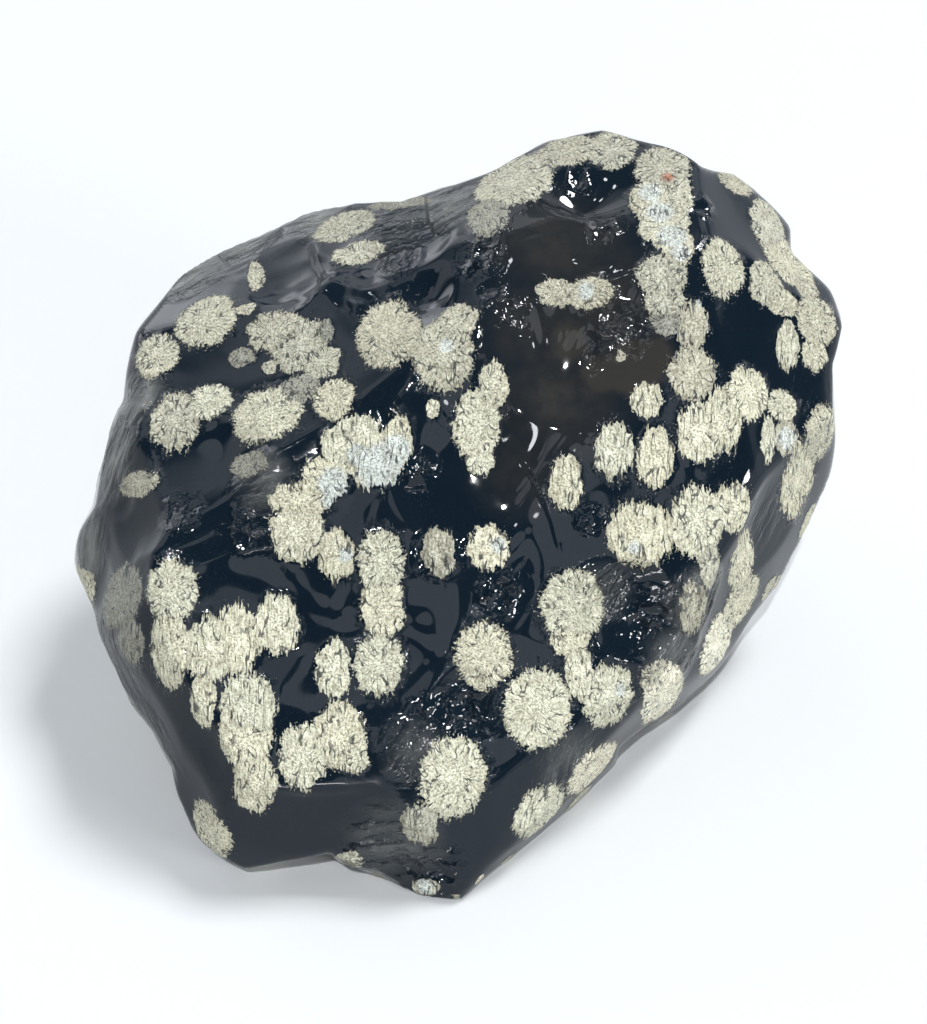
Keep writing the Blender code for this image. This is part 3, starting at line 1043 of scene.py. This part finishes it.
# %% Where the reflections come from
# how bright the things are: pixel x and y of the middle of each reflection, its radius in pixels
REFLECTIONS = {
    1.2: [(190, 379, 9), (240, 346, 8), (570, 342, 9)],
    1.3: [(372, 520, 8), (394, 510, 9), (230, 289, 12), (355, 785, 8)],
    1.45: [
        (275, 572, 10), (302, 578, 9), (340, 596, 14), (328, 622, 8), (304, 650, 8),
        (297, 680, 10), (322, 698, 7), (420, 606, 16), (450, 602, 15), (477, 592, 14),
        (407, 632, 8), (407, 560, 8), (527, 550, 12), (547, 553, 12), (567, 549, 11),
        (590, 531, 10), (610, 513, 7), (632, 503, 5), (682, 487, 7), (701, 478, 7),
        (215, 362, 13), (270, 286, 10),
    ],
    2.4: [(292, 268, 12)],
    3.4: [(304, 256, 7)],
}
GLEAMS = {
    5: [(567, 362, 5)],
    25: [(424, 722, 4), (540, 618, 3), (690, 560, 3)],
    30: [
        (571, 257, 3), (583, 260, 3), (595, 263, 3), (611, 267, 3), (622, 270, 3), (532, 425, 3),
        (640, 624, 4), (660, 628, 4),
    ],
}
fine_skin = BVHTree.FromPolygons(room_points.tolist(), faces.tolist())


def mirrored(x, y):
    """The way in which the stone mirrors the line of sight through a pixel."""
    way = sight_line(x, y)
    hit, normal, _, _ = fine_skin.ray_cast(CAMERA_AT, way)
    return None if hit is None else way.reflect(normal)


def pale_thing(x, y, radius):
    """Where in the room a thing stands that is mirrored round a pixel, and its half angle."""
    turns = [2 * math.pi * k / 8 for k in range(8)]
    ring = [mirrored(x + radius * math.cos(t), y + radius * math.sin(t)) for t in turns]
    ring = [way for way in ring if way is not None]
    middle = sum(ring, mirrored(x, y) * 4).normalized()
    return middle, float(np.median([way.angle(middle) for way in ring]))


# %% [markdown]
# ## The room
#
# The room itself is bright behind the stone and to its left, where a window stands, and dark
# overhead and in front, where someone leans over the stone. The world is painted that way by
# direction, which costs nothing and lights every side.

# %% The room's brightness by direction
world = bpy.data.worlds.new("room")
bpy.context.scene.world = world
world.use_nodes = True
heaven = world.node_tree
PALE_WALL = 0.95
WINDOW = 3.8
CEILING = 1.35
DARKNESS = 0.96  # how much of the light the one who leans over the stone takes away
TOWARDS_WINDOW = (-0.72, 0.69, 0.0)
TOWARDS_FRONT = (0.42, -0.9, 0.0)
TOWARDS_LOW_FRONT = (0.25, -0.97, 0.0)
TOWARDS_RIGHT = (0.9, -0.1, 0.3)
ABOVE = (0.07, 0.76, 0.64)
direction = Wire(heaven.nodes.new("ShaderNodeTexCoord").outputs["Generated"])
rise = direction.part(2)
things = (direction * 2.6 + (0.4, 1.7, 0.2)).drift(1.0, 1.0)
ceiling = things.part(0).from_to(-0.04, 0.08, 0.07, CEILING)
posts = (direction * (3.2, 3.2, 0.5)).noise(0.0, 0.5).from_to(0.38, 0.46, 0.22, 1.0)
window = direction.dot(TOWARDS_WINDOW).from_to(0.80, 0.86) * rise.from_to(-0.02, 0.02)
horizon = window.blend(1.0, WINDOW) * posts
room_light = rise.from_to(0.40, 0.50).blend(horizon, ceiling)
front = direction.dot(TOWARDS_FRONT).from_to(-0.27, -0.24)
above = direction.dot(ABOVE) - direction.part(0).larger(0) * 0.22
overhead = front * (above + things.part(1) * 0.2).from_to(-0.40, -0.34)
low_front = direction.dot(TOWARDS_LOW_FRONT).from_to(0.66, 0.72) * rise.from_to(0.46, 0.42)
right = direction.dot(TOWARDS_RIGHT).from_to(0.80, 0.86)
room_light = room_light * (1 - overhead.larger(low_front).larger(right) * DARKNESS)
# near the floor there is only a plain pale wall all round
room_light = rise.from_to(0.20, 0.30).blend(PALE_WALL, room_light)

# %% [markdown]
# Reckoning with every thing for every ray takes time, and most rays go where none of them stands.
# Most things stand close together, above the one who looks. So the room gets two backgrounds, one
# without those and one with them, and Cycles only works the second one out inside a cone that
# holds them. Things of one brightness share a sum: each middle is made longer until its product
# with the direction is 1 at the thing's edge.

# %% Let the pale things shine
EDGE = 0.79  # where a patch ends, in its half angle
SOFT_EDGE = 1.00001
NARROWEST_PATCH = math.radians(1.0)
WIDEST_GLEAM = math.radians(1.0)
CONE_MIDDLE = Vector((0.06, -0.54, 0.84)).normalized()
CONE = math.radians(36)


def standing(seen, narrowest, widest):
    """Where things stand: the middle and half angle of each, and how bright it is."""
    things = [(*pale_thing(*row), brightness) for brightness, rows in seen.items() for row in rows]
    return [(m, min(max(spread, narrowest), widest) * EDGE, b) for m, spread, b in things]


def brighten(light, things):
    """Lets each thing shine where the direction is inside its edge."""
    for brightness in sorted({brightness for _, _, brightness in things}):
        alike = [direction.dot(m / math.cos(s)) for m, s, b in things if b == brightness]
        inside = alike[0]
        for other in alike[1:]:
            inside = inside.larger(other)
        light = light.larger(inside.from_to(1, SOFT_EDGE, 0, brightness))
    return light


def background(light):
    """A background that is a little cooler than grey."""
    cool = light.node("ShaderNodeCombineXYZ", None, {0: light * 0.92, 1: light * 0.95, 2: light})
    return light.node("ShaderNodeBackground", None, {"Color": cool})


close, apart = [], []
for thing in standing(REFLECTIONS, NARROWEST_PATCH, math.pi) + standing(GLEAMS, 0, WIDEST_GLEAM):
    fits = thing[0].angle(CONE_MIDDLE) + thing[1] < CONE
    (close if fits else apart).append(thing)
room_light = brighten(room_light, apart)
in_cone = direction.with_("GREATER_THAN", direction.dot(CONE_MIDDLE), math.cos(CONE))
both = {0: in_cone, 1: background(room_light), 2: background(brighten(room_light, close))}
mixed = in_cone.node("ShaderNodeMixShader", None, both)
heaven.nodes.remove(heaven.nodes["Background"])
heaven.links.new(mixed.socket, heaven.nodes["World Output"].inputs["Surface"])
print(f"{len(close)} things stand in the cone and {len(apart)} outside it")

# %% [markdown]
# ## The lamps
#
# The picture's shadow is soft and falls to the left and towards us, so the main light stands
# behind the stone on its right and looks fifteen degrees wide. A small one in front, high up,
# gives the crystal its light and the glass its sharpest glints. Suns light the floor evenly as
# far as it goes. The two low lamps are near ones, for the flanks only.

# %% The lamps
def add_light(name, kind, place, power):
    light = bpy.data.lights.new(name, kind)
    light.energy = power
    made = bpy.data.objects.new(name, light)
    made.location = place
    made.rotation_euler = (-Vector(place)).to_track_quat("-Z", "Y").to_euler()
    bpy.context.scene.collection.objects.link(made)
    return light


add_light("soft light on the right", "SUN", (0.50, 0.52, 1.10), 3.3).angle = math.radians(15)
add_light("small light in front", "SUN", (-0.057, -0.43, 1.0), 2.0).angle = math.radians(2)
for name, place, wide, high, power in (
    ("low box on the right", (0.95, -0.60, 0.40), 0.28, 0.16, 7),
    ("low window in front", (0.10, -1.25, 0.20), 0.60, 0.05, 2.4),
):
    light = add_light(name, "AREA", place, power)
    light.shape = "RECTANGLE"
    light.size, light.size_y = wide, high
bpy.context.scene.view_settings.view_transform = "Standard"
print(f"{len(bpy.data.lights)} lamps")
